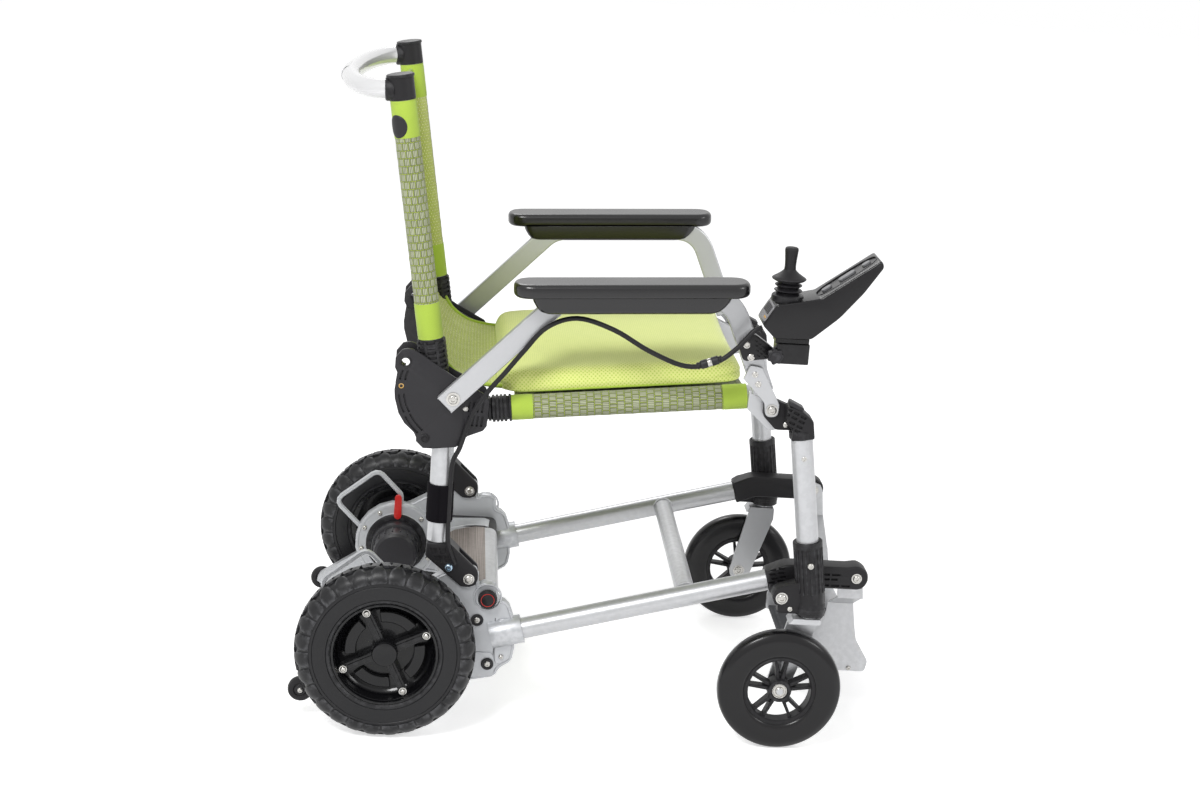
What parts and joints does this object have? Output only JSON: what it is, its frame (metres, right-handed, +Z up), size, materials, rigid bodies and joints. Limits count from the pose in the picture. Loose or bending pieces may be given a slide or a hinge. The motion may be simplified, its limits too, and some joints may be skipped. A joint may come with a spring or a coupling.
{
  "type": "folding power wheelchair",
  "caption": "Folding power wheelchair: parallelogram aluminium frame, geared drive wheels, swivelling casters, sling back, padded seat, flip-up footrest and joystick control.",
  "frame": {"origin": "on the floor, under the middle of the chair's bounding box", "axes": "+X is the way the chair faces, +Y is its left-hand side and +Z is up, at 90 degrees to the floor"},
  "size_m": [0.8409, 0.592, 0.9154],
  "materials": {
    "silver_tube": "satin anodised",
    "cast": "as cast, matt",
    "handle_silver": "glossy silver-white coat",
    "black_moulding": "fine-textured moulding",
    "black_rubber": "matt",
    "tyre": "solid tyre, matt",
    "motor_paint": "semi-gloss",
    "lime_fabric": "woven mesh over foam",
    "battery_case": "bronze-brown brushed case with black and silver ends",
    "red_lever": "smooth",
    "dark_board": "ribbed"
  },
  "bodies": {
    "chair": {"base_frame": "silver_tube", "battery_box": "battery_case", "axle_casting_right": "cast", "axle_casting_left": "cast", "motor_right": "motor_paint", "motor_left": "motor_paint", "front_arm_right": "black_moulding", "front_arm_left": "black_moulding"},
    "rear_frame": {"push_handle": "handle_silver", "back_sling": "lime_fabric", "leg_cable": "black_rubber", "rear_leg_right": "silver_tube", "rear_leg_left": "silver_tube", "leg_foot_right": "black_moulding", "leg_foot_left": "black_moulding", "back_hinge_right": "black_moulding", "back_hinge_left": "black_moulding", "back_post_right": "silver_tube", "back_post_left": "silver_tube", "post_cap_right": "black_moulding", "post_cap_left": "black_moulding"},
    "seat": {"seat_cushion": "lime_fabric", "seat_rail_right": "silver_tube", "seat_rail_left": "silver_tube", "rail_socket_right": "black_moulding", "rail_socket_left": "black_moulding"},
    "footrest": {"footboard": "dark_board", "footrest_plate_right": "silver_tube", "footrest_plate_left": "silver_tube"},
    "armrest_right": {"arm_tube_right": "silver_tube", "arm_pad_right": "black_moulding", "controller_housing": "black_moulding", "arm_cable": "black_rubber"},
    "armrest_left": {"arm_tube_left": "silver_tube", "arm_pad_left": "black_moulding"},
    "stick_gimbal": {"joystick_boot": "black_rubber"},
    "stick": {"joystick": "black_moulding"},
    "power_key": {"power_button": "dark_board"},
    "speed_key": {"speed_rocker": "dark_board"},
    "horn_key": {"horn_button": "dark_board"},
    "leg_right": {"leg_knuckle_right": "black_moulding", "front_leg_right": "silver_tube", "leg_sleeve_right": "black_moulding"},
    "swivel_right": {"caster_fork_right": "silver_tube"},
    "caster_right": {"caster_wheel_right": "tyre"},
    "drive_wheel_right": {"drive_tyre_right": "tyre", "drive_rim_right": "black_moulding"},
    "tip_roller_right": {"anti_tip_wheel_right": "black_rubber"},
    "knob_right": {"lock_knob_right": "black_moulding"},
    "lever_right": {"release_lever_right": "red_lever"},
    "leg_left": {"leg_knuckle_left": "black_moulding", "front_leg_left": "silver_tube", "leg_sleeve_left": "black_moulding"},
    "swivel_left": {"caster_fork_left": "silver_tube"},
    "caster_left": {"caster_wheel_left": "tyre"},
    "drive_wheel_left": {"drive_tyre_left": "tyre", "drive_rim_left": "black_moulding"},
    "tip_roller_left": {"anti_tip_wheel_left": "black_rubber"},
    "knob_left": {"lock_knob_left": "black_moulding"},
    "lever_left": {"release_lever_left": "red_lever"}
  },
  "joints": [
    {"name": "back_fold", "type": "hinge", "parent": "chair", "child": "rear_frame", "pos_m": [-0.175, 0, 0.215], "axis": [0, 1, 0], "range_deg": [0, 80]},
    {"name": "seat_pivot", "type": "hinge", "parent": "rear_frame", "child": "seat", "pos_m": [-0.193, 0, 0.464], "axis": [0, 1, 0], "range_deg": [-80, 0]},
    {"name": "footrest_flip", "type": "hinge", "parent": "chair", "child": "footrest", "pos_m": [0.3716, 0, 0.245], "axis": [0, 1, 0], "range_deg": [-95, 0]},
    {"name": "armrest_pivot_right", "type": "hinge", "parent": "rear_frame", "child": "armrest_right", "pos_m": [-0.211, -0.2338, 0.481], "axis": [0, 1, 0], "range_deg": [-80, 0]},
    {"name": "leg_pivot_right", "type": "hinge", "parent": "chair", "child": "leg_right", "pos_m": [0.261, -0.251, 0.225], "axis": [0, 1, 0], "range_deg": [0, 80]},
    {"name": "caster_swivel_right", "type": "hinge", "parent": "leg_right", "child": "swivel_right", "pos_m": [0.304, -0.251, 0.2], "axis": [0, 0, 1], "continuous": true},
    {"name": "caster_spin_right", "type": "hinge", "parent": "swivel_right", "child": "caster_right", "pos_m": [0.27, -0.256, 0.0879], "axis": [0, 1, 0], "continuous": true},
    {"name": "drive_spin_right", "type": "hinge", "parent": "chair", "child": "drive_wheel_right", "pos_m": [-0.286, -0.271, 0.12591], "axis": [0, 1, 0], "continuous": true},
    {"name": "tip_roller_spin_right", "type": "hinge", "parent": "chair", "child": "tip_roller_right", "pos_m": [-0.403, -0.228, 0.044], "axis": [0, 1, 0], "continuous": true},
    {"name": "lock_knob_pull_right", "type": "slide", "parent": "chair", "child": "knob_right", "axis": [0, -1, 0], "range_m": [0, 0.006], "stiffness_N_per_m": 800, "springref_m": -0.002},
    {"name": "release_lever_turn_right", "type": "hinge", "parent": "chair", "child": "lever_right", "pos_m": [-0.286, -0.178, 0.1725], "axis": [0, 1, 0], "range_deg": [0, 50]},
    {"name": "armrest_pivot_left", "type": "hinge", "parent": "rear_frame", "child": "armrest_left", "pos_m": [-0.211, 0.2338, 0.481], "axis": [0, 1, 0], "range_deg": [-80, 0]},
    {"name": "leg_pivot_left", "type": "hinge", "parent": "chair", "child": "leg_left", "pos_m": [0.261, 0.251, 0.225], "axis": [0, 1, 0], "range_deg": [0, 80]},
    {"name": "caster_swivel_left", "type": "hinge", "parent": "leg_left", "child": "swivel_left", "pos_m": [0.304, 0.251, 0.2], "axis": [0, 0, 1], "continuous": true},
    {"name": "caster_spin_left", "type": "hinge", "parent": "swivel_left", "child": "caster_left", "pos_m": [0.27, 0.256, 0.0879], "axis": [0, 1, 0], "continuous": true},
    {"name": "drive_spin_left", "type": "hinge", "parent": "chair", "child": "drive_wheel_left", "pos_m": [-0.286, 0.271, 0.12591], "axis": [0, 1, 0], "continuous": true},
    {"name": "tip_roller_spin_left", "type": "hinge", "parent": "chair", "child": "tip_roller_left", "pos_m": [-0.403, 0.228, 0.044], "axis": [0, 1, 0], "continuous": true},
    {"name": "lock_knob_pull_left", "type": "slide", "parent": "chair", "child": "knob_left", "axis": [0, 1, 0], "range_m": [0, 0.006], "stiffness_N_per_m": 800, "springref_m": -0.002},
    {"name": "release_lever_turn_left", "type": "hinge", "parent": "chair", "child": "lever_left", "pos_m": [-0.286, 0.178, 0.1725], "axis": [0, 1, 0], "range_deg": [0, 50]},
    {"name": "stick_side_tilt", "type": "hinge", "parent": "armrest_right", "child": "stick_gimbal", "pos_m": [0.2295, -0.257, 0.6445], "axis": [1, 0, 0], "range_deg": [-15, 15], "stiffness_Nm_per_rad": 0.25},
    {"name": "stick_fore_tilt", "type": "hinge", "parent": "stick_gimbal", "child": "stick", "pos_m": [0.2295, -0.257, 0.6445], "axis": [0, 1, 0], "range_deg": [-15, 15], "stiffness_Nm_per_rad": 0.25},
    {"name": "power_key_press", "type": "slide", "parent": "armrest_right", "child": "power_key", "axis": [0.5916, 0, -0.8062], "range_m": [0, 0.0012], "stiffness_N_per_m": 500, "springref_m": -0.0008},
    {"name": "horn_key_press", "type": "slide", "parent": "armrest_right", "child": "horn_key", "axis": [0.5916, 0, -0.8062], "range_m": [0, 0.0012], "stiffness_N_per_m": 500, "springref_m": -0.0008},
    {"name": "speed_key_tilt", "type": "hinge", "parent": "armrest_right", "child": "speed_key", "pos_m": [0.30709, -0.257, 0.68721], "axis": [0, 1, 0], "range_deg": [-4, 4], "stiffness_Nm_per_rad": 0.08}
  ],
  "couplings": [
    {"joint": "seat_pivot", "follows": "back_fold", "ratio": -1},
    {"joint": "armrest_pivot_right", "follows": "back_fold", "ratio": -1},
    {"joint": "leg_pivot_right", "follows": "back_fold", "ratio": 1},
    {"joint": "armrest_pivot_left", "follows": "back_fold", "ratio": -1},
    {"joint": "leg_pivot_left", "follows": "back_fold", "ratio": 1}
  ]
}
